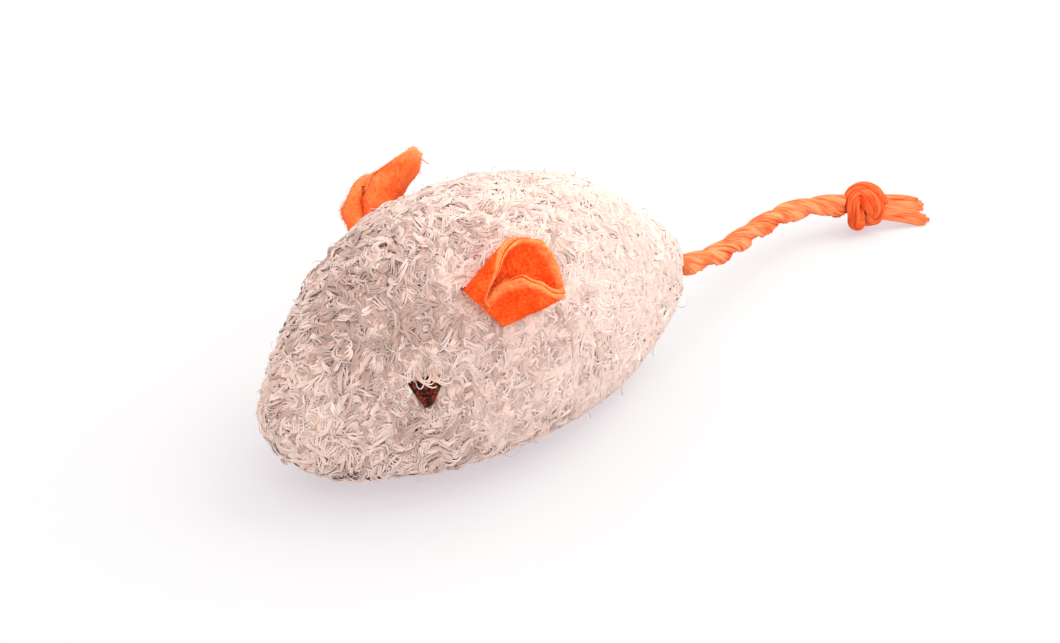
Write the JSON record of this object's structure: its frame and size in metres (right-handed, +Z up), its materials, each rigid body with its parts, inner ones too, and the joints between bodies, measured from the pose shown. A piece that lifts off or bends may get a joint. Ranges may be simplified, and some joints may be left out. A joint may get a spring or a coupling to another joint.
{
  "type": "plush toy mouse",
  "caption": "Stuffed plush toy mouse with a curly pile body, folded felt ears, embroidered eyes and a twisted cord tail with a knot.",
  "frame": {"origin": "under the middle of the body's length and width, on the surface that the belly lies on", "axes": "+Z up, +Y from the nose to the tail, +X to the mouse's own left"},
  "size_m": [0.0345, 0.1107, 0.0325],
  "materials": {
    "plush": "curly looped pile",
    "felt": "fuzzy felt",
    "paper_cord": "twisted crinkled paper",
    "seam_thread": "spun thread",
    "eye_thread": "satin stitch",
    "fibre": "loose staple fibre"
  },
  "bodies": {
    "body": {"left_side_panel": "plush", "right_side_panel": "plush", "belly_panel": "plush", "fibre_filling": "fibre", "spine_seam_thread": "seam_thread", "rump_seam_thread": "seam_thread", "left_belly_seam_thread": "seam_thread", "right_belly_seam_thread": "seam_thread", "tail_binding_thread": "seam_thread", "left_ear_stitch": "eye_thread", "right_ear_stitch": "eye_thread", "left_eye": "eye_thread", "right_eye": "eye_thread", "tail_anchor_knot": "paper_cord"},
    "left_ear": {"left_ear": "felt"},
    "right_ear": {"right_ear": "felt"},
    "tail_base": {"tail_cord_base": "paper_cord"},
    "tail": {"tail_cord": "paper_cord", "tail_knot": "paper_cord", "tail_left_strand_end": "paper_cord", "tail_right_strand_end": "paper_cord"}
  },
  "joints": [
    {"name": "left_ear_fold", "type": "hinge", "parent": "body", "child": "left_ear", "pos_m": [0.01264, -0.00865, 0.02368], "axis": [0.4859, 0.3814, -0.7864], "range_deg": [-5, 45], "stiffness_Nm_per_rad": 0.00005},
    {"name": "right_ear_fold", "type": "hinge", "parent": "body", "child": "right_ear", "pos_m": [-0.01263, -0.0087, 0.02363], "axis": [0.5129, -0.5265, 0.6781], "range_deg": [-5, 45], "stiffness_Nm_per_rad": 0.00005},
    {"name": "tail_swing", "type": "hinge", "parent": "body", "child": "tail_base", "pos_m": [0, 0.0306, 0.0115], "axis": [0, 0, 1], "range_deg": [-60, 60], "stiffness_Nm_per_rad": 0.001},
    {"name": "tail_lift", "type": "hinge", "parent": "tail_base", "child": "tail", "pos_m": [-0.0022, 0.0382, 0.0097], "axis": [0.9207, 0.3903, 0], "range_deg": [-12, 60], "stiffness_Nm_per_rad": 0.001}
  ]
}
